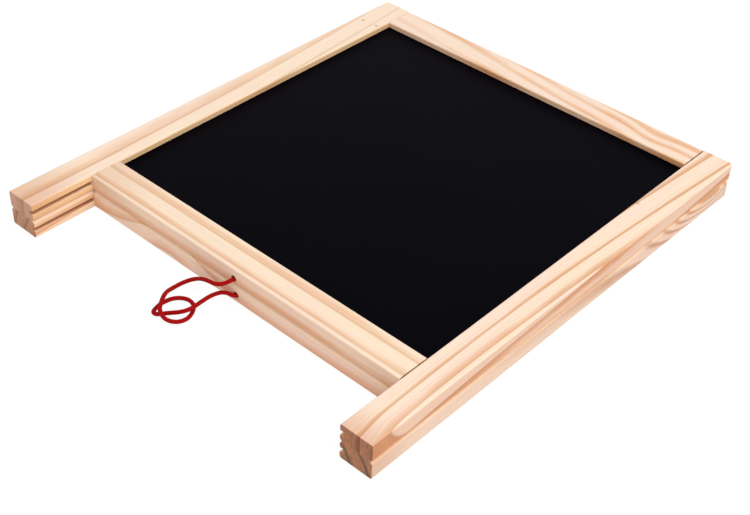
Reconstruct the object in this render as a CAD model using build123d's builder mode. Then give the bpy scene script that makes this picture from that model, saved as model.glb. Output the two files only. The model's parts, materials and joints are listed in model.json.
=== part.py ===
# A-frame menu chalkboard: two identical pine frames, each with a blackboard panel held in its
# grooves, hinged together along the top edge and tied by one short cord between the bottom rails.
# It is modelled folded flat, lying on the face of its rear leaf, as it is stored.
# Millimetres. +X runs across the board, +Y from the feet to the hinges, +Z up.
# The origin is on the floor, under the middle of the folded board.

from build123d import *
from math import pi, radians, tan
import os

# --- Leaf and stick sizes ------------------------------------------------------------------
leaf_width = 350.0  # over the outsides of the stiles
leaf_length = 399.0  # from the foot ends to the top edge
leg_length = 52.4  # from the foot ends to the bottom rail
stick_width = 26.0
stick_thickness = 14.0
leaf_gap = 0.3  # between the backs of the folded leaves
outer_round = 1.2  # front edge on the outside of the frame
inner_round = 1.4  # front edge beside the blackboard
back_chamfer = 1.8  # both back edges, so that two leaves back to back show a V groove
lip_round = 0.8  # the mouth of the panel groove
top_end_round = 3.5  # outer corner of each stile's top end, seen from the front

# --- Blackboard panel and its groove -------------------------------------------------------
front_lip = 5.2  # wood in front of the groove
panel_thickness = 3.0
panel_play = 0.2  # on each face of the panel, in the groove
groove_depth = 4.0
panel_edge_gap = 0.4  # from the panel's edge to the bottom of the groove

# --- Corner joints: a stub tenon in the stile's groove, and one dowel ----------------------
shoulder_gap = 0.25  # open seam between a rail's shoulder and the stile
tenon_play = 0.1  # on each face of the tenon, in the groove
tenon_end_gap = 0.3
dowel_radius = 2.5
dowel_reach = 13.0  # into each stick, from the stile's inner face
dowel_play = 0.05
dowel_end_gap = 0.6
dowel_chamfer = 0.6

# --- Cord and its holes --------------------------------------------------------------------
cord_diameter = 3.0
cord_hole_radius = 2.4
cord_hole_depth = 14.0
# The holes are drilled by hand, a little to the right of the rail's middle and nearer the floor.
cord_hole_shifts = {"front": (0.8, -1.3), "rear": (2.6, -0.5)}

# --- Hinges --------------------------------------------------------------------------------
hinge_inset = 60.0  # from the leaf's outer side to the middle of a hinge
hinge_length = 25.0
plate_height = 11.0  # from the pin's axis to the plate's far edge
plate_thickness = 0.9
plate_corner = 1.5
knuckle_radius = 2.0
knuckle_gap = 0.2  # beside each knuckle, and between a knuckle and the other plate
middle_knuckle = 9.0
pin_radius = 1.0
pin_play = 0.05
pin_head_radius = 1.5
pin_head_height = 0.6
screw_spacing = 15.0
screw_height = 7.0  # from the pin's axis
screw_length = 9.0
screw_point = 2.0
screw_radius = 1.2
screw_play = 0.05
pilot_end_gap = 0.5
recess_length = 2.4
recess_width = 0.5
recess_depth = 0.5

# --- Worked-out sizes and places -----------------------------------------------------------
groove_width = panel_thickness + 2 * panel_play
groove_front = stick_thickness - front_lip  # heights above the leaf's back face
groove_back = groove_front - groove_width
hinge_stand = 2 * knuckle_radius  # how far the hinges stand proud of the top edge
feet_y = -(leaf_length + hinge_stand) / 2
top_y = feet_y + leaf_length
middle_y = feet_y + leaf_length / 2
bottom_rail_y = feet_y + leg_length  # the bottom rail's outer face
stile_face_x = leaf_width / 2 - stick_width  # the stiles' inner faces
rail_middles = (bottom_rail_y + stick_width / 2, top_y - stick_width / 2)
hinge_y = top_y + knuckle_radius
hinge_z = stick_thickness + leaf_gap / 2
hinge_reach = leaf_width / 2 - hinge_inset  # from the middle of the board to each hinge
screw_head_radius = screw_radius + plate_thickness  # a 90 degree head, as deep as the plate
# name, height of the back face, and the way the front faces: the rear leaf lies face down
leaves = (("rear", stick_thickness, -1), ("front", stick_thickness + leaf_gap, 1))
sides = (("left", -1), ("right", 1))

os.makedirs("parts", exist_ok=True)


def save(piece, name):
    """Label a finished sub-part and write it to its own file."""
    piece.part.label = name
    export_step(piece.part, f"parts/{name}.step")


# --- The moulding that every stick is cut from ---------------------------------------------
def moulding_section(outer_middle, inward, facing):
    """Section of the moulding at a stick's middle: x runs inward, y from back to front."""
    frontward = Vector(0, 0, facing)
    plane = Plane(origin=outer_middle, x_dir=inward, z_dir=Vector(*inward).cross(frontward))
    with BuildSketch(plane) as section:
        with BuildLine():
            Polyline(
                (0, back_chamfer),
                (back_chamfer, 0),
                (stick_width - back_chamfer, 0),
                (stick_width, back_chamfer),
                (stick_width, groove_back),
                (stick_width - groove_depth, groove_back),
                (stick_width - groove_depth, groove_front),
                (stick_width, groove_front),
                (stick_width, stick_thickness),
                (0, stick_thickness),
                close=True,
            )
        make_face()
        inner_edge = section.vertices().group_by(Axis.X)[-1].sort_by(Axis.Y)
        fillet(inner_edge[1:3], lip_round)
        front_corners = section.vertices().group_by(Axis.Y)[-1].sort_by(Axis.X)
        fillet(front_corners[-1], inner_round)
        front_corners = section.vertices().group_by(Axis.Y)[-1].sort_by(Axis.X)
        fillet(front_corners[0], outer_round)
    return section.sketch


def dowel_hole(side, rail_y, middle_z):
    """Cut one dowel's hole out of the stick in work, on both sides of the stile's inner face."""
    with BuildSketch(Plane.YZ.offset(side * stile_face_x)) as mouth:
        with Locations((rail_y, middle_z)):
            Circle(dowel_radius + dowel_play)
    extrude(mouth.sketch, dowel_reach + dowel_end_gap, both=True, mode=Mode.SUBTRACT)


# --- Stiles --------------------------------------------------------------------------------
def build_top_end_cutter(back_z, facing, side):
    """What a stile loses at its top end: the back edge's chamfer and the outer corner's rounding.

    The chamfer runs on round the corner, so the V groove between the leaves does too."""
    corner_x = side * (leaf_width / 2 - top_end_round)
    corner_y = top_y - top_end_round
    middle_z = back_z + facing * stick_thickness / 2
    narrow, wide = top_end_round - back_chamfer, top_end_round
    bottom_radius, top_radius = (narrow, wide) if facing > 0 else (wide, narrow)
    cone_z = back_z + facing * back_chamfer / 2
    with BuildPart() as cutter:
        with Locations((corner_x + side * top_end_round, corner_y + top_end_round, middle_z)):
            Box(2 * top_end_round, 2 * top_end_round, stick_thickness)
        with Locations((corner_x, corner_y, cone_z)):
            Cone(bottom_radius, top_radius, back_chamfer, mode=Mode.SUBTRACT)
        with Locations((corner_x, corner_y, middle_z + facing * back_chamfer / 2)):
            Cylinder(top_end_round, stick_thickness - back_chamfer, mode=Mode.SUBTRACT)
        with BuildSketch(Plane.YZ):
            with BuildLine():
                Polyline(
                    (top_y - back_chamfer, back_z),
                    (top_y, back_z),
                    (top_y, back_z + facing * back_chamfer),
                    close=True,
                )
            make_face()
        extrude(amount=side * leaf_width / 2)
    return cutter


def build_stile(back_z, facing, side):
    """One upright, over the leaf's full length, with its foot end cut square."""
    middle_z = back_z + facing * stick_thickness / 2
    outer_middle = (side * leaf_width / 2, middle_y, back_z)
    with BuildPart() as stile:
        section = moulding_section(outer_middle, (-side, 0, 0), facing)
        extrude(section, leaf_length / 2, both=True)
        for rail_y in rail_middles:
            dowel_hole(side, rail_y, middle_z)
        add(build_top_end_cutter(back_z, facing, side).part, mode=Mode.SUBTRACT)
    return stile


# --- Rails ---------------------------------------------------------------------------------
def build_rail(back_z, facing, outer_y, inward):
    """A rail between the stiles, with a stub tenon and a dowel hole at each end."""
    middle_z = back_z + facing * stick_thickness / 2
    tenon_thickness = groove_width - 2 * tenon_play
    tenon_middle = back_z + facing * (groove_back + groove_front) / 2
    tenon_width = stick_width - groove_depth
    with BuildPart() as rail:
        section = moulding_section((0, outer_y, back_z), (0, inward, 0), facing)
        extrude(section, stile_face_x - shoulder_gap, both=True)
        with BuildSketch(Plane.YZ):
            with Locations((outer_y + inward * tenon_width / 2, tenon_middle)):
                Rectangle(tenon_width, tenon_thickness)
        extrude(amount=stile_face_x + groove_depth - tenon_end_gap, both=True)
        for side_name, side in sides:
            dowel_hole(side, outer_y + inward * stick_width / 2, middle_z)
    return rail


def build_bottom_rail(leaf, back_z, facing):
    """The bottom rail, with a blind hole for the cord's end in its outer face."""
    shift_x, shift_z = cord_hole_shifts[leaf]
    rail = build_rail(back_z, facing, bottom_rail_y, 1)
    with BuildPart() as bottom_rail:
        add(rail.part)
        with BuildSketch(Plane.XZ.offset(-bottom_rail_y)):
            with Locations((shift_x, back_z + facing * stick_thickness / 2 + shift_z)):
                Circle(cord_hole_radius)
        extrude(amount=-cord_hole_depth, mode=Mode.SUBTRACT)
    return bottom_rail


def screw_places(facing):
    """Where one leaf's hinge screws stand, as (x, z) on the top edge."""
    return [
        (side * hinge_reach + along * screw_spacing / 2, hinge_z + facing * screw_height)
        for side_name, side in sides
        for along in (-1, 1)
    ]


def build_top_rail(back_z, facing):
    """The top rail, with pilot holes for the hinge screws in its outer face."""
    rail = build_rail(back_z, facing, top_y, -1)
    with BuildPart() as top_rail:
        add(rail.part)
        with BuildSketch(Plane.XZ.offset(-top_y)):
            with Locations(*screw_places(facing)):
                Circle(screw_radius + screw_play)
        extrude(amount=screw_length + pilot_end_gap, mode=Mode.SUBTRACT)
    return top_rail


# --- Blackboard panels ---------------------------------------------------------------------
def build_panel(back_z, facing):
    """A hardboard panel whose four edges sit in the grooves."""
    edge_reach = groove_depth - panel_edge_gap
    opening_low = bottom_rail_y + stick_width
    opening_high = top_y - stick_width
    panel_width = 2 * (stile_face_x + edge_reach)
    panel_length = opening_high - opening_low + 2 * edge_reach
    with BuildPart() as panel:
        with BuildSketch(Plane.XY.offset(back_z + facing * (groove_back + panel_play))):
            with Locations((0, (opening_low + opening_high) / 2)):
                Rectangle(panel_width, panel_length)
        extrude(amount=facing * panel_thickness)
    return panel


# --- Corner dowels -------------------------------------------------------------------------
def build_dowels(back_z, facing):
    """One leaf's four dowels, across the seams between rails and stiles."""
    middle_z = back_z + facing * stick_thickness / 2
    with BuildPart() as dowels:
        for side_name, side in sides:
            with BuildSketch(Plane.YZ.offset(side * stile_face_x)):
                with Locations(*[(rail_y, middle_z) for rail_y in rail_middles]):
                    Circle(dowel_radius)
            extrude(amount=dowel_reach, both=True)
        chamfer(dowels.edges().filter_by(GeomType.CIRCLE), dowel_chamfer)
    return dowels


for leaf, back_z, facing in leaves:
    for side_name, side in sides:
        save(build_stile(back_z, facing, side), f"{leaf}_{side_name}_stile")
    save(build_bottom_rail(leaf, back_z, facing), f"{leaf}_bottom_rail")
    save(build_top_rail(back_z, facing), f"{leaf}_top_rail")
    save(build_panel(back_z, facing), f"{leaf}_chalkboard")
    save(build_dowels(back_z, facing), f"{leaf}_corner_dowels")


# --- Butt hinges ---------------------------------------------------------------------------
def knuckle_spans(leaf):
    """Where a plate's knuckles lie along the pin, from the hinge's middle."""
    if leaf == "front":
        return [(-middle_knuckle / 2, middle_knuckle / 2)]
    inner_end = middle_knuckle / 2 + knuckle_gap
    return [(-hinge_length / 2, -inner_end), (inner_end, hinge_length / 2)]


def build_hinge_plate(leaf, facing, hinge_x):
    """One flat plate on a leaf's top edge, with its knuckles rolled round the pin."""
    plate_start = knuckle_radius + knuckle_gap
    upright = Plane(origin=(hinge_x, top_y, hinge_z), x_dir=(-facing, 0, 0), z_dir=(0, 1, 0))
    with BuildPart() as plate:
        with BuildSketch(upright) as outline:
            with Locations((0, (plate_start + plate_height) / 2)):
                Rectangle(hinge_length, plate_height - plate_start)
            fillet(outline.vertices().group_by(Axis.Y)[-1], plate_corner)
            for start, end in knuckle_spans(leaf):
                with Locations(((start + end) / 2, plate_start / 2)):
                    Rectangle(end - start, plate_start)
        extrude(amount=plate_thickness)
        for start, end in knuckle_spans(leaf):
            with BuildSketch(Plane.YZ.offset(hinge_x + start)):
                with Locations((hinge_y, hinge_z)):
                    Circle(knuckle_radius)
            extrude(amount=end - start)
        with BuildSketch(Plane.YZ.offset(hinge_x)):
            with Locations((hinge_y, hinge_z)):
                Circle(pin_radius + pin_play)
        extrude(amount=hinge_length, both=True, mode=Mode.SUBTRACT)
        seats = upright.offset(plate_thickness)
        for along in (-1, 1):
            seat = seats * Location((along * screw_spacing / 2, screw_height, 0))
            with Locations(seat):
                CounterSinkHole(
                    radius=screw_radius + screw_play,
                    counter_sink_radius=screw_head_radius + screw_play,
                    counter_sink_angle=90,
                )
    return plate


def build_hinge_pin(hinge_x):
    """The pin through the knuckles, peened over at both ends."""
    head_start = hinge_length / 2 + pin_play
    with BuildPart() as pin:
        with BuildSketch(Plane.YZ.offset(hinge_x)):
            with Locations((hinge_y, hinge_z)):
                Circle(pin_radius)
        extrude(amount=head_start, both=True)
        for end in (-1, 1):
            with BuildSketch(Plane.YZ.offset(hinge_x + end * head_start)):
                with Locations((hinge_y, hinge_z)):
                    Circle(pin_head_radius)
            extrude(amount=end * pin_head_height, taper=20)
    return pin


def build_hinge_screws(facing):
    """One leaf's four countersunk wood screws, with cross recesses."""
    head_y = top_y + plate_thickness
    head_height = screw_head_radius - screw_radius
    with BuildPart() as screws:
        for x, z in screw_places(facing):
            with BuildSketch(Plane(origin=(x, head_y, z), x_dir=(1, 0, 0), z_dir=(0, 0, 1))):
                with BuildLine():
                    Polyline(
                        (0, 0),
                        (screw_head_radius, 0),
                        (screw_radius, -head_height),
                        (screw_radius, screw_point - screw_length),
                        (0, -screw_length),
                        close=True,
                    )
                make_face()
            revolve(axis=Axis((x, head_y, z), (0, 1, 0)))
        with BuildSketch(Plane.XZ.offset(-head_y)):
            with Locations(*screw_places(facing)):
                Rectangle(recess_length, recess_width)
                Rectangle(recess_width, recess_length)
        extrude(amount=recess_depth, mode=Mode.SUBTRACT)
    return screws


for side_name, side in sides:
    hinge_x = side * hinge_reach
    for leaf, back_z, facing in leaves:
        plate = build_hinge_plate(leaf, facing, hinge_x)
        save(plate, f"{side_name}_hinge_{leaf}_plate")
    save(build_hinge_pin(hinge_x), f"{side_name}_hinge_pin")
for leaf, back_z, facing in leaves:
    save(build_hinge_screws(facing), f"{leaf}_hinge_screws")


# --- Cord ----------------------------------------------------------------------------------
# One loose braided cord, glued into the hole of each bottom rail. From the upper hole it
# droops to the floor, makes one round loop, folds back under itself, crosses the loop and
# comes up to the lower hole. Points are chosen by hand: x, y from the feet, z.
cord_route = [
    (1.3, 63.0, 19.5),
    (1.3, 51.5, 19.5),
    (-4.3, 42.8, 16.4),
    (-17.0, 43.0, 14.2),
    (-28.0, 44.3, 8.0),
    (-35.8, 39.6, 3.0),
    (-37.3, 31.3, 2.0),
    (-34.8, 24.0, 4.8),
    (-30.6, 17.8, 7.9),
    (-26.5, 11.6, 7.9),
    (-20.8, 5.0, 7.4),
    (-14.3, 4.4, 3.8),
    (-8.7, 10.0, 1.5),
    (-6.6, 17.7, 1.5),
    (-10.0, 25.0, 1.5),
    (-15.0, 30.0, 1.5),
    (-22.3, 30.7, 1.5),
    (-28.6, 25.7, 1.5),
    (-30.3, 17.6, 1.5),
    (-33.2, 10.4, 1.5),
    (-28.8, 5.6, 1.5),
    (-23.6, 8.8, 1.5),
    (-18.0, 9.6, 2.2),
    (-11.0, 12.5, 7.0),
    (-7.0, 21.0, 7.8),
    (-9.0, 32.0, 6.5),
    (-9.3, 41.2, 6.2),
    (-5.0, 48.3, 7.6),
    (2.9, 51.4, 6.0),
    (3.0, 57.5, 6.0),
    (3.0, 63.5, 6.0),
]
cord_points = [Vector(x, feet_y + y, z) for x, y, z in cord_route]


def corner_radii(points):
    """The largest arcs that neighbouring straight runs leave room for, one at each corner."""
    runs = [end - start for start, end in zip(points, points[1:])]
    radii = []
    for before, after in zip(runs, runs[1:]):
        shorter = min(before.length, after.length)
        half_turn = radians(before.get_angle(after)) / 2
        radii.append(0.45 * shorter / tan(half_turn))
    return radii


radii = corner_radii(cord_points)
with BuildPart() as cord:
    with BuildLine() as route:
        FilletPolyline(*cord_points, radius=radii)
    with BuildSketch(Plane(origin=route.line @ 0, z_dir=route.line % 0)):
        Circle(cord_diameter / 2)
    sweep()
save(cord, "cord")

cord_length = route.wire().length
solid_volume = cord.part.volume
tube_volume = pi * cord_diameter**2 / 4 * cord_length
print("cord arc radii:", [round(radius, 1) for radius in radii])
print(f"cord length {cord_length:.1f}, volume {solid_volume:.0f}, as a tube {tube_volume:.0f}")
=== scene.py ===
# %% [markdown]
# # A folding menu chalkboard, in pine, brass and red cord
#
# Two pine frames lie back to back, folded flat, with a blackboard panel in each. The shapes are
# already right in the CAD model, so this lesson is mostly about materials: solid pine that shows
# the same growth rings on the face, the side and the sawn end of a stick. The one piece that is
# made anew is the limp red cord, because it has to bend when the board opens.
#
# The first cell clears away whatever Blender opened with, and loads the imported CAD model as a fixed
# frame. Every length is in metres.

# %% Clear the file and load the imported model
import json
import math

import bmesh
import bpy
from mathutils import Matrix, Vector
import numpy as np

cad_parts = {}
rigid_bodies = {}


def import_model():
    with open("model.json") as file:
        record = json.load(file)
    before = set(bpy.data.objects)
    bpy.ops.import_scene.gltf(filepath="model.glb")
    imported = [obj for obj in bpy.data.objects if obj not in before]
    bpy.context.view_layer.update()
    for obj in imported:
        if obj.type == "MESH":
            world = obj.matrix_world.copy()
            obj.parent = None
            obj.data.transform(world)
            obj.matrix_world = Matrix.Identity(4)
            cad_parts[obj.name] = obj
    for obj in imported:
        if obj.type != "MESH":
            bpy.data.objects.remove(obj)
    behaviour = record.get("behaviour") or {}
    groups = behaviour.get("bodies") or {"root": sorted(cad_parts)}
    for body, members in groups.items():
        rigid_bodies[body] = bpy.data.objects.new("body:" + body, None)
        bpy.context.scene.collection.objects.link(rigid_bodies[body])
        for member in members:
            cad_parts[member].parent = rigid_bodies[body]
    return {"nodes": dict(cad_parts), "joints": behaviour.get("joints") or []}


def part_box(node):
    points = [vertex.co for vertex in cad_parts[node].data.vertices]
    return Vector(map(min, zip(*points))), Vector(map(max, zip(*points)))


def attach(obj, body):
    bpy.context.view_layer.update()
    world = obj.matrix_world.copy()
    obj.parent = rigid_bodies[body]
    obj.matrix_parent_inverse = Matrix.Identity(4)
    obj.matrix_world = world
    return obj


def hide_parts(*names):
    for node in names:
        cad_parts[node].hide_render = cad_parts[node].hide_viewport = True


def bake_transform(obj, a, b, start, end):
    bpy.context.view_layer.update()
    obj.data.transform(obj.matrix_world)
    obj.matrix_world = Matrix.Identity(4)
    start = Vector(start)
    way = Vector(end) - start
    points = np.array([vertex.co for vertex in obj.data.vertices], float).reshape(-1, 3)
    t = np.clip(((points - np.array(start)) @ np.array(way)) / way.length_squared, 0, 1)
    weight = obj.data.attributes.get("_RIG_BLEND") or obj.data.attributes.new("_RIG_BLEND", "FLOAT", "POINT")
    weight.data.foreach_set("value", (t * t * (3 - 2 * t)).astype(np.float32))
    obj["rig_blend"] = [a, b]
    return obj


for leftover in list(bpy.data.objects):
    bpy.data.objects.remove(leftover)
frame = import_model()
scene = bpy.context.scene
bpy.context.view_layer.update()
feet_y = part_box("front_right_stile")[0].y
print("pieces of the CAD model:", len(frame["nodes"]))

# %% [markdown]
# ## The camera
#
# The board is seen from the front right, from about 40 degrees above the floor. Cameras and lamps
# look along their own -Z, so the direction from the target back to either one is its local Z, and
# one helper can aim both. Turning the camera a little about that axis afterwards gives the slight
# roll of a hand-held camera.

# %% Place the camera
def facing(place, back):
    """The transform of a camera or a lamp that stands at place, with back pointing behind it."""
    return Matrix.Translation(place) @ back.to_track_quat("Z", "Y").to_matrix().to_4x4()


target = Vector((0.0365, -0.0475, 0.0))
azimuth, elevation, roll = math.radians(40.99), math.radians(39.06), math.radians(2.47)
distance = 0.9473
behind = Vector(
    (
        math.sin(azimuth) * math.cos(elevation),
        -math.cos(azimuth) * math.cos(elevation),
        math.sin(elevation),
    )
)
camera = bpy.data.objects.new("camera", bpy.data.cameras.new("camera"))
camera.data.sensor_width = 36
camera.data.lens = 64.26
camera.matrix_world = facing(target + distance * behind, behind) @ Matrix.Rotation(roll, 4, "Z")
scene.collection.objects.link(camera)
scene.camera = camera
print("camera height:", round(camera.matrix_world.translation.z, 3))

# %% [markdown]
# ## The cord's line
#
# The cord is a braided one, 3 mm thick. It leaves the hole in the upper rail, droops to the
# floor, makes one round loop, folds back under itself and goes into the lower rail's hole. Such a
# line is best drawn as one NURBS spline: a few listed control points give a curve with no
# corners in it. Measured from the feet, the points stay with the board's lower end.

# %% Choose the cord's route
cord_diameter = 0.003
cord_route = [  # x, distance from the feet, height
    (0.0013, 0.063, 0.0195),
    (0.0013, 0.0515, 0.0195),
    (-0.0043, 0.0428, 0.0164),
    (-0.017, 0.043, 0.0142),
    (-0.028, 0.0443, 0.008),
    (-0.0358, 0.0396, 0.003),
    (-0.0373, 0.0313, 0.002),
    (-0.0348, 0.024, 0.0048),
    (-0.0306, 0.0178, 0.0079),
    (-0.0265, 0.0116, 0.0079),
    (-0.0208, 0.005, 0.0074),
    (-0.0143, 0.0044, 0.0038),
    (-0.0087, 0.01, 0.0015),
    (-0.0066, 0.0177, 0.0015),
    (-0.01, 0.025, 0.0015),
    (-0.015, 0.03, 0.0015),
    (-0.0223, 0.0307, 0.0015),
    (-0.0293, 0.0253, 0.0015),
    (-0.0313, 0.016, 0.0015),
    (-0.0302, 0.0098, 0.0015),
    (-0.0284, 0.0052, 0.0015),
    (-0.0247, 0.0054, 0.0015),
    (-0.0206, 0.0113, 0.0018),
    (-0.0115, 0.0155, 0.0055),
    (-0.007, 0.021, 0.0078),
    (-0.009, 0.032, 0.0065),
    (-0.0093, 0.0412, 0.0062),
    (-0.005, 0.0483, 0.0076),
    (0.0029, 0.0514, 0.006),
    (0.003, 0.0575, 0.006),
    (0.003, 0.0635, 0.006),
]
print("points of the cord's route:", len(cord_route))

# %% [markdown]
# The order and the end points of the spline are set after its points exist, because a new spline
# has too few points to hold an order of 3. Made a mesh, the bare line gives the path that it really
# follows, which the cord's length is measured on.

# %% Draw the cord's line
cord_line = bpy.data.curves.new("cord_line", "CURVE")
cord_line.dimensions = "3D"
cord_line.resolution_u = 10
spline = cord_line.splines.new("NURBS")
spline.points.add(len(cord_route) - 1)
for point, (x, from_feet, height) in zip(spline.points, cord_route):
    point.co = (x, feet_y + from_feet, height, 1)
spline.order_u = 3
spline.use_endpoint_u = True
cord_guide = bpy.data.objects.new("cord_guide", cord_line)
followed = bpy.data.meshes.new_from_object(cord_guide)
cord_path = [vertex.co.copy() for vertex in followed.vertices]
cord_reach = [0.0]  # the distance along the cord to each point of its path
for start, end in zip(cord_path, cord_path[1:]):
    cord_reach.append(cord_reach[-1] + (end - start).length)
print("cord length:", round(cord_reach[-1], 4), "with", len(cord_path), "points")

# %% [markdown]
# ## The cord's body
#
# A curve can be given a round bevel, and Blender then sweeps the ring for us and keeps it from
# twisting. The sweep is turned into a mesh, because only a mesh can bend between two bodies. Each
# ring of that mesh belongs to one point of the path, in order, which makes it easy to write two
# numbers on every corner: how far round the cord it is, and how far along. The braid follows them.

# %% Sweep the cord into a mesh
cord_line.bevel_depth = cord_diameter / 2
cord_line.bevel_resolution = 4
cord_line.use_fill_caps = False
cord_mesh = bpy.data.meshes.new_from_object(cord_guide)
bpy.data.objects.remove(cord_guide)
ring_size = len(cord_mesh.vertices) // len(cord_path)
print("corners in each ring of the cord:", ring_size)
work = bmesh.new()
work.from_mesh(cord_mesh)
lay_uv = work.loops.layers.uv.new("braid_lay")
for face in work.faces:
    face.smooth = True
    corners = [loop.vert.index % ring_size for loop in face.loops]
    wraps = max(corners) - min(corners) > ring_size / 2
    for loop, corner in zip(face.loops, corners):
        turn = corner + ring_size if wraps and corner == 0 else corner
        along = cord_reach[loop.vert.index // ring_size]
        loop[lay_uv].uv = (turn / ring_size, along / cord_diameter)
open_ends = [edge for edge in work.edges if edge.is_boundary]
bmesh.ops.holes_fill(work, edges=open_ends, sides=ring_size)
bmesh.ops.recalc_face_normals(work, faces=work.faces)
work.to_mesh(cord_mesh)
work.free()
cord = bpy.data.objects.new("red_cord", cord_mesh)
scene.collection.objects.link(cord)

# %% [markdown]
# ## The cord bends as the board opens
#
# One end of the cord is glued into the rear leaf and the other into the front leaf. A share that
# grows steadily along the cord is better here than one by place, because the loop passes the same
# place more than once. Raising the cord's line also leans it, which would flatten a level ring, so
# points above the line get a little more and points below it a little less.

# %% Share the cord out between the two leaves
def keep_within_one(number):
    """The number, or 0 if it is less than 0, or 1 if it is more than 1."""
    return min(1, max(0, number))


rail_face_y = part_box("front_bottom_rail")[0].y
outside = [i for i, place in enumerate(cord_path) if place.y < rail_face_y]
first, last = cord_reach[outside[0]], cord_reach[outside[-1]]
cord_outside = last - first
opening = math.radians(frame["joints"][0]["range_deg"][1])
hinge_to_hole = Vector(frame["joints"][0]["pos_m"]).y - rail_face_y
lift = opening * hinge_to_hole  # how far the front hole travels
lean = math.hypot(1, lift / cord_outside) - 1
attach(cord, "rear_leaf")
cord.parent = None
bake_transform(cord, "rear_leaf", "front_leaf", start=(0, 0, 0.006), end=(0, 0, 0.0205))
shares = cord.data.attributes["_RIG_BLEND"].data
for vertex, share in zip(cord.data.vertices, shares):
    ring = vertex.index // ring_size
    steady = keep_within_one(1 - (cord_reach[ring] - first) / cord_outside)
    above = vertex.co.z - cord_path[ring].z
    share.value = keep_within_one(steady + lean * above / lift)
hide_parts("cord")
print("cord outside the holes:", round(cord_outside, 4))

# %% [markdown]
# ## Helpers for material nodes
#
# Materials here are built from dozens of nodes. Small helpers keep that readable. The first two
# add a node and fill its inputs, by linking a socket or by setting a value, and the others do
# arithmetic with numbers and with places.

# %% Add nodes and calculate with them
def feed(tree, node, values):
    """Fill a node's inputs, given by name or by number, with sockets to link or plain values."""
    for key, value in dict(values).items():
        if isinstance(value, bpy.types.NodeSocket):
            tree.links.new(value, node.inputs[key])
        else:
            node.inputs[key].default_value = value


def add_node(tree, kind, values=(), **settings):
    """Add a shader node with its settings and its input values."""
    node = tree.nodes.new("ShaderNode" + kind)
    for name, value in settings.items():
        setattr(node, name, value)
    feed(tree, node, values)
    return node


def calculate(tree, operation, *values):
    """One arithmetic step on one, two or three numbers."""
    return add_node(tree, "Math", enumerate(values), operation=operation).outputs[0]


def calculate_vector(tree, operation, *values):
    """One step on vectors. A length or a dot product gives a number, all the rest a vector."""
    node = add_node(tree, "VectorMath", enumerate(values), operation=operation)
    return node.outputs["Value" if operation in ("LENGTH", "DOT_PRODUCT") else "Vector"]


def axes_of(tree, vector):
    """A vector's X, Y and Z as three numbers."""
    return add_node(tree, "SeparateXYZ", {0: vector}).outputs


step_helpers = (feed, add_node, calculate, calculate_vector, axes_of)
print("helpers that make steps:", *(helper.__name__ for helper in step_helpers))

# %% [markdown]
# Patterns begin as noise. A ramp makes a noise into something plainer: it has the two levels
# between which the pattern changes, and the two results that it changes between. Wood needs noise
# that is drawn out along the grain, which is done by scaling the place before the noise is read.

# %% Ramps, mixed colours and noise
def ramp_between(tree, value, low, high, start=0.0, end=1.0, kind="SMOOTHSTEP"):
    """start below low, end above high, and a change between that is smooth, or LINEAR."""
    limits = {"Value": value, "From Min": low, "From Max": high, "To Min": start, "To Max": end}
    return add_node(tree, "MapRange", limits, interpolation_type=kind).outputs["Result"]


def mix_colours(tree, share, first_colour, second_colour, blend="MIX"):
    """Mix two colours, or blend the second over the first."""
    values = {0: share, 6: first_colour, 7: second_colour}
    return add_node(tree, "Mix", values, data_type="RGBA", blend_type=blend).outputs[2]


def shade_colour(tree, colour, shade):
    """Darken or lighten a colour by a number near 1."""
    values = {"Vector": colour, "Scale": shade}
    return add_node(tree, "VectorMath", values, operation="SCALE").outputs["Vector"]


def even_noise(tree, place, scale, detail):
    """Noise with blobs as long as they are wide, scale of them to a unit of place."""
    values = {"Vector": place, "Scale": scale, "Detail": detail}
    return add_node(tree, "TexNoise", values).outputs["Fac"]


def stretched_noise(tree, place, across, along, seed, detail=2.0, roughness=0.5):
    """Noise whose blobs are `across` wide and `along` long, in the units of place."""
    scaled = calculate_vector(tree, "MULTIPLY", place, (1 / across, 1 / along, 1 / across))
    values = {"Vector": scaled, "W": seed, "Scale": 1.0, "Detail": detail, "Roughness": roughness}
    return add_node(tree, "TexNoise", values, noise_dimensions="4D").outputs["Fac"]


pattern_helpers = (ramp_between, mix_colours, shade_colour, even_noise, stretched_noise)
print("helpers that make patterns:", *(helper.__name__ for helper in pattern_helpers))

# %% [markdown]
# A pattern that several materials share goes into a node group, whose sockets are made one by one.
# The Principled shader stays outside the group, in each material, where the export can find it. A
# relief that is finer than any mesh is a height, which a Bump node turns into tilted normals.

# %% Groups, materials and relief
def new_group(name, inputs, outputs):
    """An empty shader node group with named sockets, and its two end nodes."""
    group = bpy.data.node_groups.new(name, "ShaderNodeTree")
    for socket, (kind, default) in inputs.items():
        made = group.interface.new_socket(socket, in_out="INPUT", socket_type="NodeSocket" + kind)
        made.default_value = default
    for socket, kind in outputs.items():
        group.interface.new_socket(socket, in_out="OUTPUT", socket_type="NodeSocket" + kind)
    return group, group.nodes.new("NodeGroupInput"), group.nodes.new("NodeGroupOutput")


def new_material(name):
    """A new material with its node tree and its Principled shader."""
    material = bpy.data.materials.new(name)
    material.use_nodes = True
    return material, material.node_tree, material.node_tree.nodes["Principled BSDF"]


def object_place(tree):
    """Where a point is on the object, in metres."""
    return add_node(tree, "TexCoord").outputs["Object"]


def relief(tree, height, strength, depth):
    """The normals of a fine relief that is depth metres deep where height goes from 0 to 1."""
    values = {"Height": height, "Strength": strength, "Distance": depth}
    return add_node(tree, "Bump", values).outputs["Normal"]


def dress(names, material):
    """Give a material to pieces of the CAD model."""
    for name in names:
        frame["nodes"][name].material_slots[0].material = material


print("pieces to dress:", len(frame["nodes"]) - 1, "and the cord")

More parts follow.
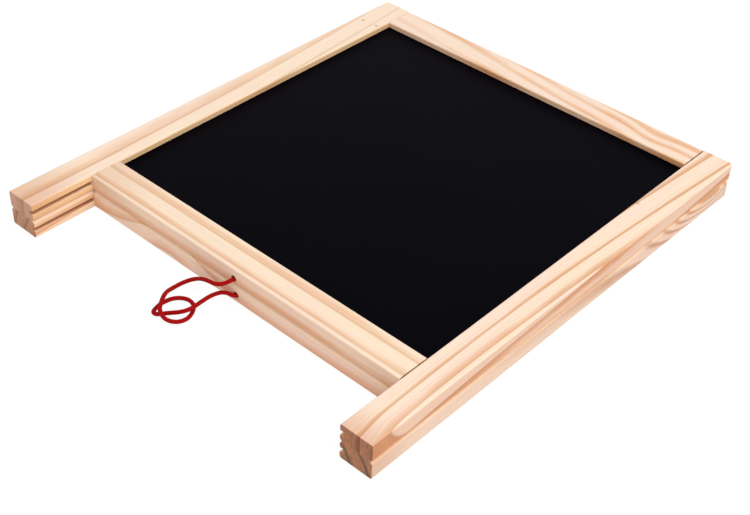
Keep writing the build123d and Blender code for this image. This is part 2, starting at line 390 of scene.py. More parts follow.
# %% [markdown]
# ## Pine: growth rings in a solid log
#
# A tree adds one ring a year: pale wood in spring that darkens slowly into tan summer wood, and
# then stops short. A stick sawn from the log shows those rings as long stripes on its faces and as
# arcs on its ends. A flat picture can't do that, so the pattern is worked out in space. `Log` is a
# place in the log, in millimetres: X runs outward across the rings, Y along the grain. The masks
# say where on the stick that place is. All the other values belong to the tree and to the saw, and
# every stick gets its own.

# %% Name the pine group's values
pine_inputs = {
    # the place in the log, and the masks
    "Log": ("Vector", (0, 0, 0)),
    "End Face": ("Float", 0.0),
    "Side": ("Float", 0.0),
    "Groove": ("Float", 0.0),
    "Seam": ("Float", 0.0),
    # how the rings lie
    "Spacing": ("Float", 10.0),
    "Crowding": ("Float", 0.0),
    "Bow": ("Float", 0.01),
    "Ring Shift": ("Float", 0.0),
    "Drift": ("Vector", (0, 0, 0)),
    "Swelling": ("Float", 0.0),
    "Swelling Place": ("Vector", (0, 0, 0)),
    "Swelling Size": ("Vector", (1000, 20, 1000)),
    "Second Swelling": ("Float", 0.0),
    "Second Swelling Place": ("Vector", (0, 0, 0)),
    "Second Swelling Size": ("Vector", (1000, 20, 1000)),
    "Lean": ("Vector", (0, 0, 0)),
    "Wander": ("Float", 1.0),
    # the summer wood
    "Summer Wood": ("Float", 0.5),
    "Next Summer Wood": ("Float", 0.5),
    "Strength": ("Float", 0.7),
    "Next Strength": ("Float", 0.7),
    "Rise": ("Float", 1.0),
    "Edge Softness": ("Float", 0.04),
    "Dark Line": ("Float", 0.2),
    "False Ring": ("Float", 0.15),
    "Fade": ("Float", 0.0),
    # knots, stain, colours and the seed of every noise
    "Knot": ("Vector", (0, 9999, 0)),
    "Second Knot": ("Vector", (0, 9999, 0)),
    "Stain Place": ("Vector", (0, 9999, 1)),
    "Pale": ("Color", (0.95, 0.77, 0.60, 1)),
    "Tan": ("Color", (0.79, 0.44, 0.24, 1)),
    "Side Tint": ("Color", (1.0, 0.88, 0.82, 1)),
    "End Tint": ("Color", (0.50, 0.33, 0.23, 1)),
    "End Lines": ("Float", 0.8),
    "Seam Share": ("Float", 0.3),
    "Seed": ("Float", 0.0),
}
pine, pine_in, pine_out = new_group(
    "pine", pine_inputs, {"Color": "Color", "Roughness": "Float", "Height": "Float"}
)
given = pine_in.outputs
log = axes_of(pine, given["Log"])
print("inputs of the pine group:", len(pine_inputs))

# %% [markdown]
# Far from the log's middle a ring is almost a flat sheet, so the depth through the rings is X, less
# a bow, a drift along the grain, a slow wander, and two swellings such as branches nearby leave.
# `Lean` lets the sheets lean over about the stick's upper edge. Drift and lean both change along
# the grain, so each has three terms, for a value, its slope and its curve.

# %% Let the rings drift, lean and swell
decimetres = calculate(pine, "MULTIPLY", log["Y"], 0.01)  # along the grain, from the middle


def along_grain(terms):
    """X + Y * t + Z * t * t, where t is the distance along the grain in decimetres."""
    terms = axes_of(pine, terms)
    slope = calculate(pine, "MULTIPLY_ADD", terms["Z"], decimetres, terms["Y"])
    return calculate(pine, "MULTIPLY_ADD", slope, decimetres, terms["X"])


def swelling(name):
    """A smooth hump in the rings, highest at its place and falling away over its size."""
    offset = calculate_vector(pine, "SUBTRACT", given["Log"], given[name + " Place"])
    offset = calculate_vector(pine, "DIVIDE", offset, given[name + " Size"])
    squared = calculate_vector(pine, "DOT_PRODUCT", offset, offset)
    falling = calculate(pine, "EXPONENT", calculate(pine, "MULTIPLY", squared, -1.0))
    return calculate(pine, "MULTIPLY", falling, given[name])


upper_edge = 7.0  # half of a stick's thickness
above_edge = calculate(pine, "SUBTRACT", log["Z"], upper_edge)
sheet_bow = calculate(pine, "MULTIPLY", log["Z"], log["Z"])
sheet_bow = calculate(pine, "MULTIPLY", sheet_bow, given["Bow"])
wander = stretched_noise(pine, given["Log"], 45, 130, given["Seed"])
wander = calculate(pine, "MULTIPLY", calculate(pine, "SUBTRACT", wander, 0.5), given["Wander"])
drift = calculate(pine, "MULTIPLY", along_grain(given["Drift"]), decimetres)
depth = calculate(pine, "MULTIPLY_ADD", along_grain(given["Lean"]), above_edge, log["X"])
for part in (drift, swelling("Swelling"), swelling("Second Swelling"), sheet_bow, wander):
    depth = calculate(pine, "SUBTRACT", depth, part)
print("nodes for the depth:", len(pine.nodes))

# %% [markdown]
# Depth over ring spacing counts the rings. Its whole part is the year, and the fraction is the
# season. Two years in turn have their own share of summer wood, because no two are alike. A tree
# that grows ever slower lays its rings closer and closer. A term with the square of the count gives
# that, and its slope tells how close together they have come.

# %% Count the rings
rings = calculate(pine, "DIVIDE", depth, given["Spacing"])
crowding = calculate(pine, "MULTIPLY", rings, given["Crowding"])
rings = calculate(pine, "MULTIPLY_ADD", rings, crowding, rings)
rings = calculate(pine, "ADD", rings, given["Ring Shift"])
closeness = calculate(pine, "MULTIPLY_ADD", crowding, 2.0, 1.0)
season = calculate(pine, "FRACT", rings)
year = calculate(pine, "FLOOR", rings)
other_year = calculate(pine, "FLOORED_MODULO", year, 2.0)
print("nodes in the ring field:", len(pine.nodes))

# %% [markdown]
# Summer wood has a share of each year and a strength. Where rings crowd together it is the spring
# wood that shrinks, so the summer wood's share is raised by their closeness. A patchy noise makes
# the share and the strength uneven along the stick, and in some sticks the rings fade towards one
# end.

# %% How wide and how strong the summer wood is
def by_year(even_name, odd_name):
    """Read one of two inputs, by whether the year is even or odd."""
    gap = calculate(pine, "SUBTRACT", given[odd_name], given[even_name])
    return calculate(pine, "MULTIPLY_ADD", gap, other_year, given[even_name])


patchy = stretched_noise(pine, given["Log"], 14, 80, calculate(pine, "ADD", given["Seed"], 3.7))
wider = ramp_between(pine, patchy, 0.25, 0.75, 0.75, 1.25)
summer_share = calculate(pine, "MULTIPLY", by_year("Summer Wood", "Next Summer Wood"), closeness)
summer_share = calculate(pine, "MULTIPLY", summer_share, wider)
stronger = ramp_between(pine, patchy, 0.25, 0.75, 0.7, 1.25)
strength = calculate(pine, "MULTIPLY", by_year("Strength", "Next Strength"), stronger)
fading = calculate(pine, "MULTIPLY_ADD", given["Fade"], decimetres, 1.0)
strength = calculate(pine, "MULTIPLY", strength, calculate(pine, "MAXIMUM", fading, 0.0))
print("nodes with the summer wood's share:", len(pine.nodes))

# %% [markdown]
# The band of summer wood begins where its share of the year begins, rises evenly, and falls as the
# ring stops: sharply in most sticks, and softly where the saw met the rings at a slant. The dark
# line lies just before the fall.

# %% The band of summer wood and its dark line
summer_end = 0.97  # where in the year the last summer wood is laid
line_width = 0.12  # as a share of the year
summer_start = calculate(pine, "SUBTRACT", summer_end, summer_share)
rise_end = calculate(pine, "MULTIPLY_ADD", summer_share, given["Rise"], summer_start)
rise = ramp_between(pine, season, summer_start, rise_end, kind="LINEAR")
fall_start = calculate(pine, "SUBTRACT", 1.0, given["Edge Softness"])
fall = ramp_between(pine, season, fall_start, 1.0, 1.0, 0.0)
band = calculate(pine, "MULTIPLY", rise, fall)
line_start = calculate(pine, "SUBTRACT", fall_start, line_width)
edge_line = calculate(pine, "MULTIPLY", ramp_between(pine, season, line_start, fall_start), fall)
dark_line = calculate(pine, "MULTIPLY", edge_line, given["Dark Line"])
print("nodes with the band:", len(pine.nodes))

# %% [markdown]
# A dry spell leaves a false ring, a faint line a little before the real summer wood. A fine noise
# that follows the depth makes each summer band of many thin layers. The narrow sides show them
# bolder, partly because they cut the rings square and partly as painted shade on the sides.

# %% False rings and fine layers
false_ring_gap, false_ring_width = 0.1, 0.05  # as shares of the year
false_start = calculate(pine, "SUBTRACT", summer_start, false_ring_gap)
from_false = calculate(pine, "ABSOLUTE", calculate(pine, "SUBTRACT", season, false_start))
false_ring = ramp_between(pine, from_false, 0.0, false_ring_width, 1.0, 0.0)
false_ring = calculate(pine, "MULTIPLY", false_ring, given["False Ring"])
summer = calculate(pine, "MULTIPLY", calculate(pine, "ADD", band, false_ring), strength)
sheet_place = add_node(pine, "CombineXYZ", {0: depth, 1: log["Y"], 2: log["Z"]}).outputs[0]
layers = stretched_noise(pine, sheet_place, 0.9, 400, given["Seed"], roughness=0.6)
layers = ramp_between(pine, layers, 0.3, 0.7, 0.72, 1.28)
summer = calculate(pine, "MULTIPLY", summer, layers)
# partly painted shade: bolder, darker rings on the narrow sides
bolder = calculate(pine, "MULTIPLY_ADD", given["Side"], 0.25, 1.0)
summer = calculate(pine, "MINIMUM", calculate(pine, "MULTIPLY", summer, bolder), 1.0)
print("nodes with the layers:", len(pine.nodes))

# %% [markdown]
# Between the rings wood is never flat in colour. A broad noise warms and cools it over centimetres.
# A pin knot is a small dark spot, about twice as wide across the grain as along it.

# %% Colour the rings, and add the knots
line_brown, knot_brown = (0.52, 0.24, 0.10, 1), (0.46, 0.24, 0.12, 1)
rosy, golden = (1.0, 0.95, 0.95, 1), (1.0, 1.0, 0.94, 1)
toned = mix_colours(pine, summer, given["Pale"], given["Tan"])
toned = mix_colours(pine, dark_line, toned, line_brown)
broad_seed = calculate(pine, "ADD", given["Seed"], 1.3)
broad = stretched_noise(pine, given["Log"], 8, 110, broad_seed, detail=4.0, roughness=0.62)
tone = mix_colours(pine, ramp_between(pine, broad, 0.3, 0.7), rosy, golden)
toned = mix_colours(pine, 1.0, toned, tone, "MULTIPLY")
knot_shape = (0.45, 0.9, 0)  # steps to the knot's edge for each millimetre across and along
for name in ("Knot", "Second Knot"):
    offset = calculate_vector(pine, "SUBTRACT", given["Log"], given[name])
    offset = calculate_vector(pine, "MULTIPLY", offset, knot_shape)
    knot = calculate_vector(pine, "LENGTH", offset)
    knot = ramp_between(pine, knot, 0.3, 1.3, 0.75, 0.0)
    toned = mix_colours(pine, knot, toned, knot_brown)
print("nodes with the knots:", len(pine.nodes))

# %% [markdown]
# Wood near a sawn end is stained warmer by what the end soaks up: `Stain Place` holds the stain's
# strength, its place along the grain and its reach. The narrow sides of a stick get a darker, warmer
# tint of their own, which is painted shade for the less light that reaches them.

# %% Stain the wood near an end, and paint shade on the sides
warm_stain = (0.82, 0.66, 0.59, 1)
stain = axes_of(pine, given["Stain Place"])
from_stain = calculate(pine, "ABSOLUTE", calculate(pine, "SUBTRACT", log["Y"], stain["Y"]))
from_stain = calculate(pine, "ADD", from_stain, wander)
stained = calculate(pine, "DIVIDE", from_stain, stain["Z"])
stained = ramp_between(pine, stained, 0.0, 1.0, 1.0, 0.0)
stained = calculate(pine, "MULTIPLY", stained, stain["X"])
toned = mix_colours(pine, stained, toned, warm_stain, "MULTIPLY")
# painted shade: the sides' darker, warmer tint stands in for the light they don't get
side_shaded = mix_colours(pine, 1.0, toned, given["Side Tint"], "MULTIPLY")
toned = mix_colours(pine, given["Side"], toned, side_shaded)
print("nodes with the stain:", len(pine.nodes))

# %% [markdown]
# A fine noise drawn out along the grain gives the fibres, and short dark dashes are the resin
# canals. The panel groove is painted brown, as painted shade for its depth, and the chamfers where
# the two leaves meet are painted orange, darker towards the seam, as painted shade in the V between them.

# %% Finish the long grain
groove_shade_brown = (0.60, 0.32, 0.16, 1)
seam_shade_orange, seam_shade_brown = (0.76, 0.40, 0.17, 1), (0.42, 0.19, 0.07, 1)
fibres = stretched_noise(pine, given["Log"], 0.45, 26, given["Seed"], detail=3.0, roughness=0.65)
canals = stretched_noise(pine, given["Log"], 0.28, 5, given["Seed"], detail=1.0)
canals = ramp_between(pine, canals, 0.66, 0.76)
fibre_shade = ramp_between(pine, fibres, 0.25, 0.75, 0.91, 1.06)
fibre_shade = calculate(pine, "SUBTRACT", fibre_shade, calculate(pine, "MULTIPLY", canals, 0.06))
long_grain = shade_colour(pine, toned, fibre_shade)
# painted shade: the groove's brown stands in for the light that the deep slot doesn't get
long_grain = mix_colours(pine, given["Groove"], long_grain, groove_shade_brown)
# painted shade: orange on the chamfers of the V between the leaves, and a darker brown at its core
seam = calculate(pine, "MULTIPLY", given["Seam"], given["Seam Share"])
seam = calculate(pine, "MULTIPLY", seam, ramp_between(pine, patchy, 0.3, 0.7, 0.5, 1.0))
long_grain = mix_colours(pine, seam, long_grain, seam_shade_orange)
seam_shade_core = ramp_between(pine, seam, 0.6, 1.0, 0.0, 0.8)
long_grain = mix_colours(pine, seam_shade_core, long_grain, seam_shade_brown)
print("nodes with the long grain:", len(pine.nodes))

# %% [markdown]
# Sawn ends look into open fibres, which swallow light, so they are darkest and their rings stand
# out more. They are blotched, because they soak up oil and dirt unevenly.

# %% Finish the sawn ends
line_dark = (0.13, 0.07, 0.04, 1)
grey, orange = (0.78, 0.86, 0.94, 1), (1.28, 1.08, 0.88, 1)
end_colour = mix_colours(pine, 1.0, toned, given["End Tint"], "MULTIPLY")
end_colour = shade_colour(pine, end_colour, ramp_between(pine, fibres, 0.3, 0.7, 0.78, 1.18))
blotches = stretched_noise(pine, given["Log"], 2.4, 30, calculate(pine, "ADD", given["Seed"], 5.1))
blotches = mix_colours(pine, ramp_between(pine, blotches, 0.3, 0.7), grey, orange)
end_colour = mix_colours(pine, given["End Lines"], end_colour, blotches, "MULTIPLY")
end_line = calculate(pine, "MAXIMUM", edge_line, calculate(pine, "MULTIPLY", false_ring, 2.0))
end_line = calculate(pine, "MAXIMUM", end_line, calculate(pine, "MULTIPLY", band, 0.45))
end_line = calculate(pine, "MULTIPLY", end_line, given["End Lines"])
end_colour = mix_colours(pine, end_line, end_colour, line_dark)
wood_colour = mix_colours(pine, given["End Face"], long_grain, end_colour)
print("nodes with the sawn ends:", len(pine.nodes))

# %% [markdown]
# Planed pine is satin rather than shiny. Its summer wood is the harder part, so after planing and
# sanding it stands a little proud of the spring wood, and the resin canals are tiny troughs. The
# group puts out that height, and each stick's own Bump node uses it.

# %% Give pine its roughness and height
rough = ramp_between(pine, fibres, 0.2, 0.8, 0.66, 0.54)
height = calculate(pine, "MULTIPLY_ADD", summer, 0.4, fibres)
height = calculate(pine, "SUBTRACT", height, calculate(pine, "MULTIPLY", canals, 0.4))
feed(pine, pine_out, {"Color": wood_colour, "Roughness": rough, "Height": height})
print("nodes in the pine group:", len(pine.nodes))

# %% [markdown]
# ## Where on the stick
#
# Four masks tell the pine group which part of a stick it is on. The sawn ends and the narrow sides
# are known by their normals. The seam and the panel groove have to be known by their places. The
# seam is the height at which the two leaves meet, which the boxes of two sticks give.

# %% Masks for a stick's ends and sides
def end_and_side_masks(tree, normal, along_x):
    """1 on the sawn ends, and 1 on the narrow sides that face across the leaf."""
    ways = axes_of(tree, normal)
    along, across = (ways["X"], ways["Y"]) if along_x else (ways["Y"], ways["X"])
    ends = ramp_between(tree, calculate(tree, "ABSOLUTE", along), 0.75, 0.95)
    return ends, ramp_between(tree, calculate(tree, "ABSOLUTE", across), 0.5, 1.0)


rear_leaf_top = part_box("rear_right_stile")[1].z
front_leaf_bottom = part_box("front_right_stile")[0].z
seam_height = (rear_leaf_top + front_leaf_bottom) / 2
print("height of the seam:", round(seam_height, 5))

# %% [markdown]
# The seam's painted shade on the chamfers is darkest where the leaves meet. The panel groove is cut
# with a saw into the stick's inner side, a little behind the front face, so its mask asks two things
# of a point: how deep it lies in the wood, and how far it is from the groove's middle height.

# %% Masks for the seam and the panel groove
chamfer_reach = 0.0034  # how far the chamfers' orange goes from the seam
groove_middle = 0.0069  # from a leaf's front face to the middle of its groove
groove_half_width, groove_depth = 0.0018, 0.0043


def seam_mask(tree, place, sides):
    """1 in the seam, and fading over the chamfers beside it."""
    off_seam = calculate(tree, "SUBTRACT", axes_of(tree, place)["Z"], seam_height)
    off_seam = calculate(tree, "ABSOLUTE", off_seam)
    near = ramp_between(tree, off_seam, 0.0004, chamfer_reach, 1.0, 0.0)
    return calculate(tree, "MULTIPLY", near, sides)


def groove_mask(tree, place, low, high, along_x, front_leaf):
    """1 inside the panel groove of the stick between the corners low and high."""
    across = "Y" if along_x else "X"
    middle = (low[1] + high[1]) / 2 if along_x else (low[0] + high[0]) / 2
    inner = (low, high)[middle < 0][1 if along_x else 0]
    inward = 1.0 if middle < 0 else -1.0
    groove_z = high.z - groove_middle if front_leaf else low.z + groove_middle
    axes = axes_of(tree, place)
    into_wood = calculate(tree, "SUBTRACT", inner, axes[across])
    into_wood = calculate(tree, "MULTIPLY", into_wood, inward)
    deep = ramp_between(tree, into_wood, 0.0002, 0.003)
    within = calculate(tree, "LESS_THAN", into_wood, groove_depth)
    deep = calculate(tree, "MULTIPLY", deep, within)
    off_middle = calculate(tree, "ABSOLUTE", calculate(tree, "SUBTRACT", axes["Z"], groove_z))
    level = calculate(tree, "LESS_THAN", off_middle, groove_half_width)
    return calculate(tree, "MULTIPLY", deep, level)


print("width of the groove's mask:", 2 * groove_half_width)

# %% [markdown]
# ## Every stick is cut from its own log
#
# A Mapping node of the Texture kind places the log: its location, its turn and its unit, which is
# a millimetre. A stile's grain runs along Y, so its log stands unturned apart from a tilt about
# the grain. A rail's grain runs along X, so its log is also turned by a right angle. Everything
# else about a stick is in the group's values: where the rings drift, how far apart they are, and
# how warm the wood is.

# %% A helper that finishes one stick
millimetre = 0.001


def pine_stick(node, tilt, **values):
    """Give one stick its own log. tilt, in degrees, leans the rings over about the grain."""
    low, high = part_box(node)
    along_x = high.x - low.x > high.y - low.y
    material, tree, shader = new_material(node + "_pine")
    coordinates = add_node(tree, "TexCoord").outputs
    place = coordinates["Object"]
    turn = (0, math.radians(tilt), math.radians(-90) if along_x else 0)
    placing = {0: place, "Location": (low + high) / 2, "Rotation": turn, "Scale": (millimetre,) * 3}
    ends, sides = end_and_side_masks(tree, coordinates["Normal"], along_x)
    whereabouts = {
        "Log": add_node(tree, "Mapping", placing, vector_type="TEXTURE").outputs[0],
        "End Face": ends,
        "Side": sides,
        "Groove": groove_mask(tree, place, low, high, along_x, node.startswith("front")),
        "Seam": seam_mask(tree, place, sides),
    }
    wood = tree.nodes.new("ShaderNodeGroup")
    wood.node_tree = pine
    feed(tree, wood, whereabouts)
    feed(tree, wood, {name.replace("_", " ").title(): value for name, value in values.items()})
    surface = {
        "Base Color": wood.outputs["Color"],
        "Roughness": wood.outputs["Roughness"],
        "Specular IOR Level": 0.25,
        "Normal": relief(tree, wood.outputs["Height"], 0.35, 0.0001),
    }
    feed(tree, shader, surface)
    dress([node], material)
    print(node, "has rings of", values["spacing"], "mm")


print("unit of the logs:", millimetre, "m")

# %% [markdown]
# ## The front leaf
#
# The front leaf is the one that is seen, so its four sticks were chosen one by one. Both stiles
# have wide rings that run straight from the foot and then drift outward. A branch near its outer
# side bulges the right one's rings at the foot, so its side shows a pale tongue there.

# %% Finish the front stiles
pine_stick(
    "front_right_stile",
    tilt=0,
    spacing=13.16,
    crowding=0.118,
    bow=0.0,
    ring_shift=0.022,
    drift=(3.55, 1.51, -0.167),
    swelling=4.0,
    swelling_place=(12.5, -200, 0),
    swelling_size=(17, 18, 1000),
    second_swelling=1.0,
    second_swelling_place=(-4, -120, 7),
    second_swelling_size=(7, 60, 1000),
    lean=(0.764, 0.088, -0.147),
    wander=1.4,
    summer_wood=0.42,
    next_summer_wood=0.24,
    strength=0.85,
    next_strength=0.85,
    rise=0.6,
    edge_softness=0.05,
    dark_line=0.35,
    false_ring=0.3,
    knot=(-11.0, 107, 0),
    stain_place=(1, -206, 36),
    pale=(0.95, 0.76, 0.605, 1),
    side_tint=(0.87, 0.75, 0.71, 1),
    seam_share=0.9,
    seed=1.0,
)
pine_stick(
    "front_left_stile",
    tilt=4,
    spacing=15.5,
    ring_shift=1.002,
    drift=(-4.2, -1.2, 0),
    wander=1.5,
    summer_wood=0.8,
    next_summer_wood=0.25,
    strength=0.6,
    next_strength=0.6,
    edge_softness=0.12,
    fade=-0.25,
    knot=(8.5, 161, 0),
    second_knot=(-5.7, 160, 0),
    stain_place=(0.9, -206, 70),
    pale=(0.97, 0.785, 0.625, 1),
    side_tint=(1.0, 0.83, 0.58, 1),
    end_tint=(0.75, 0.64, 0.62, 1),
    end_lines=0.08,
    seed=5.0,
)

# %% [markdown]
# The bottom rail has one broad tan band along the blackboard. The top rail was cut beside a knot,
# so its rings run slantwise and swell.

# %% Finish the front rails
pine_stick(
    "front_bottom_rail",
    tilt=0,
    spacing=14.2,
    bow=0.0,
    ring_shift=1.211,
    drift=(-0.15, 0, 0),
    lean=(-0.8, 0, 0),
    wander=0.6,
    summer_wood=0.5,
    next_summer_wood=0.42,
    strength=0.62,
    next_strength=0.6,
    rise=0.6,
    edge_softness=0.12,
    stain_place=(0.5, -150, 60),
    side_tint=(0.97, 0.89, 0.87, 1),
    seed=9.0,
)
pine_stick(
    "front_top_rail",
    tilt=6,
    spacing=12.5,
    crowding=-0.12,
    bow=0.008,
    ring_shift=0.55,
    drift=(12.0, -1.1, -1.1),
    swelling=3.5,
    swelling_place=(0, 110, 0),
    swelling_size=(1000, 16, 1000),
    wander=2.0,
    summer_wood=0.7,
    next_summer_wood=0.7,
    strength=0.75,
    next_strength=0.75,
    rise=0.5,
    edge_softness=0.4,
    dark_line=0.0,
    fade=0.2,
    pale=(0.95, 0.75, 0.62, 1),
    side_tint=(1.0, 0.83, 0.67, 1),
    seed=13.0,
)

# %% [markdown]
# ## The rear leaf
#
# The rear leaf shows its sides under the front leaf's, and the whole of it when the board stands
# open. Its sticks come from other logs. The right stile passed close to a branch, so its side
# shows a long closed eye near the hinges.

# %% Finish the rear stiles
pine_stick(
    "rear_right_stile",
    tilt=0,
    spacing=15.0,
    bow=-0.004,
    ring_shift=-0.14,
    drift=(-4.17, -2.5, -0.858),
    swelling=-60.0,
    swelling_place=(12.5, 171, 7.9),
    swelling_size=(30, 60, 20),
    second_swelling=27.0,
    second_swelling_place=(12.5, 205.5, 7),
    second_swelling_size=(30, 14, 1000),
    lean=(0.37, 0.3, 0.2),
    wander=0.4,
    summer_wood=0.52,
    next_summer_wood=0.52,
    strength=0.5,
    next_strength=0.5,
    rise=0.5,
    edge_softness=0.3,
    dark_line=0.0,
    fade=0.7,
    stain_place=(0.7, -206, 50),
    tan=(0.68, 0.40, 0.25, 1),
    side_tint=(0.88, 0.81, 0.83, 1),
    end_lines=0.9,
    seam_share=1.0,
    seed=17.0,
)
pine_stick(
    "rear_left_stile",
    tilt=25,
    spacing=11.0,
    ring_shift=0.3,
    drift=(-2.0, 0.6, 0),
    wander=3.0,
    next_summer_wood=0.4,
    side_tint=(0.97, 0.87, 0.76, 1),
    end_tint=(0.55, 0.37, 0.29, 1),
    end_lines=0.45,
    seed=21.0,
)

# %% [markdown]
# The rear rails are plain ones. The bottom rail's rings dip in one long wave, and the top rail has
# the narrowest rings of all.

# %% Finish the rear rails
pine_stick(
    "rear_bottom_rail",
    tilt=0,
    spacing=12.0,
    bow=0.0,
    ring_shift=0.1,
    swelling=-14.0,
    swelling_place=(0, -67, 0),
    swelling_size=(1000, 44, 1000),
    lean=(-0.7, 0, 0),
    wander=0.6,
    summer_wood=0.45,
    next_summer_wood=0.5,
    strength=0.6,
    next_strength=0.6,
    rise=0.8,
    side_tint=(0.97, 0.88, 0.89, 1),
    seed=25.0,
)
pine_stick(
    "rear_top_rail",
    tilt=-12,
    spacing=9.5,
    bow=0.012,
    ring_shift=0.5,
    drift=(-3.5, 0.5, 0),
    wander=3.0,
    next_summer_wood=0.4,
    seed=29.0,
)

# %% [markdown]
# ## The blackboard panels
#
# A blackboard is hardboard under a thin coat of flat black paint, rolled on, so it has a very fine
# stipple and hardly any shine. Its colour isn't quite black: it leans to blue-violet, and a wiped
# board keeps the faintest cloud of old chalk. Both are noises of a very small range.

# %% Build the blackboard paint
deep_black, dusty_black = (0.0009, 0.0006, 0.0020, 1), (0.0013, 0.0010, 0.0027, 1)
paint, tree, shader = new_material("blackboard_paint")
place = object_place(tree)
clouds = ramp_between(tree, even_noise(tree, place, 14.0, 5.0), 0.3, 0.8)
stipple = even_noise(tree, place, 1500.0, 2.0)
surface = {
    "Base Color": mix_colours(tree, clouds, deep_black, dusty_black),
    "Roughness": ramp_between(tree, stipple, 0.3, 0.7, 0.38, 0.46),
    "Specular IOR Level": 0.014,
    "Normal": relief(tree, stipple, 0.3, 0.00002),
}
feed(tree, shader, surface)
dress(["front_chalkboard", "rear_chalkboard"], paint)
print("nodes in the blackboard paint:", len(tree.nodes))

# %% [markdown]
# ## The red braid
#
# The cord is plaited from eight fine yarns, four going each way round. Two families of spiral
# stripes, multiplied, leave a lattice of small lozenges, which is how such a plait looks. They
# follow the numbers that were written on the mesh, so they stay put when the cord bends.

# %% Build the braid
yarns_each_way = 4.0
turns_per_diameter = 1.1  # of the pattern, for each diameter of the cord's length
# painted shade: the darker red in the gaps between the yarns
yarn_red, gap_shade_red = (0.43, 0.003, 0.003, 1), (0.22, 0.002, 0.002, 1)
braid, tree, shader = new_material("red_braid")
lay = axes_of(tree, add_node(tree, "UVMap", uv_map="braid_lay").outputs[0])
round_turns = calculate(tree, "MULTIPLY", lay["X"], yarns_each_way * 2 * math.pi)
along_turns = calculate(tree, "MULTIPLY", lay["Y"], turns_per_diameter * 2 * math.pi)
one_way = calculate(tree, "COSINE", calculate(tree, "ADD", round_turns, along_turns))
other_way = calculate(tree, "COSINE", calculate(tree, "SUBTRACT", round_turns, along_turns))
lozenges = calculate(tree, "ABSOLUTE", calculate(tree, "MULTIPLY", one_way, other_way))
lozenges = calculate(tree, "POWER", lozenges, 0.5)
surface = {
    "Base Color": mix_colours(tree, ramp_between(tree, lozenges, 0.1, 0.7), gap_shade_red, yarn_red),
    "Roughness": 0.5,
    "Specular IOR Level": 0.05,
    "Normal": relief(tree, lozenges, 0.6, 0.00015),
}
feed(tree, shader, surface)
cord.data.materials.clear()
cord.data.materials.append(braid)
print("nodes in the braid:", len(tree.nodes))

# %% [markdown]
# ## Brass hinges and hidden dowels
#
# The hinges are pressed from brass sheet, which is brushed by its rollers and dulls unevenly where
# fingers touch it. Their pins and screws are brass too.

# %% Build the brass
bright_brass, dull_brass = (0.83, 0.60, 0.27, 1), (0.66, 0.44, 0.18, 1)
brass, tree, shader = new_material("satin_brass")
place = object_place(tree)
dulling = ramp_between(tree, even_noise(tree, place, 130.0, 4.0), 0.35, 0.7)
turned = add_node(tree, "VectorRotate", {0: place, "Angle": math.pi / 2}).outputs[0]
brushing = stretched_noise(tree, turned, 0.00012, 0.006, 2.0)
surface = {
    "Base Color": mix_colours(tree, dulling, bright_brass, dull_brass),
    "Metallic": 1.0,
    "Roughness": ramp_between(tree, brushing, 0.25, 0.75, 0.24, 0.42),
    "Normal": relief(tree, brushing, 0.15, 0.00003),
}
feed(tree, shader, surface)
hinge_pieces = [name for name in frame["nodes"] if "hinge" in name]
dress(hinge_pieces, brass)
print("pieces of brass:", len(hinge_pieces))

# %% [markdown]
# The dowels are turned from a paler, closer wood, whose grain runs along each dowel. They are never
# seen unless a corner is taken apart, so one streaky noise does for them.

# %% Build the dowel wood
dowel_pale, dowel_tan = (0.70, 0.52, 0.34, 1), (0.52, 0.34, 0.19, 1)
dowel_wood, tree, shader = new_material("dowel_wood")
streaks = calculate_vector(tree, "MULTIPLY", object_place(tree), (60, 2500, 2500))
streaks = even_noise(tree, streaks, 1.0, 3.0)
surface = {
    "Base Color": mix_colours(tree, streaks, dowel_pale, dowel_tan),
    "Roughness": 0.7,
}
feed(tree, shader, surface)
dress(["front_corner_dowels", "rear_corner_dowels"], dowel_wood)
print("nodes in the dowel wood:", len(tree.nodes))

# %% [markdown]
# ## Floor and light
#
# The board lies on a white table in soft, almost shadowless light. One square is enough for the
# table, a hair below the board and large enough to fill any view.

# %% Lay the floor
floor_size = 12.0
floor_gap = 0.0002  # below the board, so that the two never share a plane
floor_work = bmesh.new()
bmesh.ops.create_grid(floor_work, x_segments=1, y_segments=1, size=floor_size / 2)
bmesh.ops.translate(floor_work, verts=floor_work.verts, vec=(0, 0, -floor_gap))
floor_mesh = bpy.data.meshes.new("floor")
floor_work.to_mesh(floor_mesh)
floor_work.free()
floor = bpy.data.objects.new("floor", floor_mesh)
scene.collection.objects.link(floor)
print("corners of the floor:", len(floor_mesh.vertices))

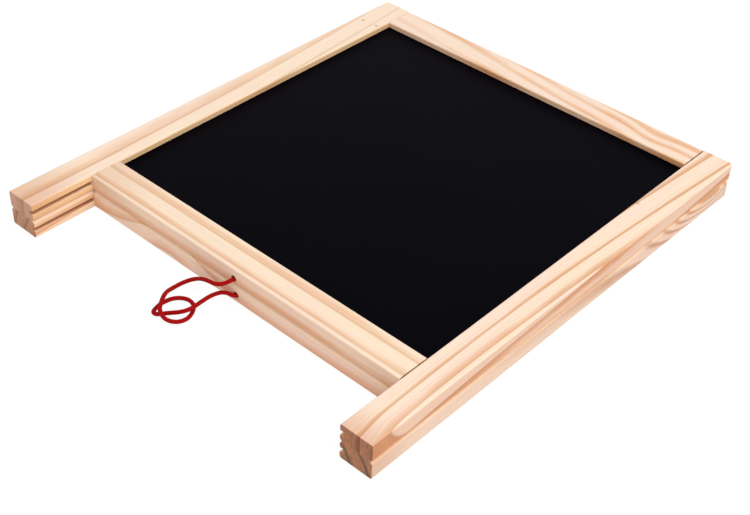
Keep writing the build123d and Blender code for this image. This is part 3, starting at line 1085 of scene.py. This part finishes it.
# %% [markdown]
# The table's material gives a white of its own to rays that come from the camera, straight or by
# way of gloss or glass. It keeps part of the real shading too, so the soft shadow under the board
# stays. All other rays meet plain matt white, so the glow doesn't light the board from below.

# %% Build the floor's white
def seen_directly(tree):
    """1 for rays from the camera, straight or by way of gloss or glass, and 0 for soft light."""
    rays = add_node(tree, "LightPath").outputs
    straight = calculate(tree, "MAXIMUM", rays["Is Camera Ray"], rays["Is Glossy Ray"])
    return calculate(tree, "MAXIMUM", straight, rays["Is Transmission Ray"])


white_share = 0.85  # of the plain white, against the real shading
table_white, tree, shader = new_material("table_white")
tree.nodes.remove(shader)
lit = add_node(tree, "BsdfDiffuse", {"Color": (0.9, 0.9, 0.9, 1)}).outputs[0]
plain = add_node(tree, "Emission", {"Color": (1, 1, 1, 1), "Strength": 1.05}).outputs[0]
whiteness = calculate(tree, "MULTIPLY", seen_directly(tree), white_share)
both = add_node(tree, "MixShader", {0: whiteness, 1: lit, 2: plain}).outputs[0]
feed(tree, tree.nodes["Material Output"], {"Surface": both})
floor_mesh.materials.append(table_white)
print("nodes in the floor's white:", len(tree.nodes))

# %% [markdown]
# A pale world lights the board evenly from all round. It is weaker as a light than as a backdrop,
# or the white would wash out the wood. One large softbox, high on the right and far off, gives the
# top faces more than the sides.

# %% Light the scene
world_light, world_white = 0.62, 1.0  # the world's strength as a light, and as a backdrop
world = bpy.data.worlds.new("soft_white")
scene.world = world
world.use_nodes = True
tree = world.node_tree
extra = world_white - world_light
level = calculate(tree, "MULTIPLY_ADD", seen_directly(tree), extra, world_light)
feed(tree, tree.nodes["Background"], {"Color": (1, 1, 1, 1), "Strength": level})
softbox = bpy.data.lights.new("softbox", "AREA")
softbox.size = 2.4
softbox.energy = 46
softbox_lamp = bpy.data.objects.new("softbox", softbox)
softbox_from = Vector((1.4, -0.3, 2.3))
softbox_lamp.matrix_world = facing(softbox_from, softbox_from)
scene.collection.objects.link(softbox_lamp)
scene.view_settings.view_transform = "Standard"
print("softbox:", softbox.energy, "W from", round(softbox_from.length, 2), "m away")
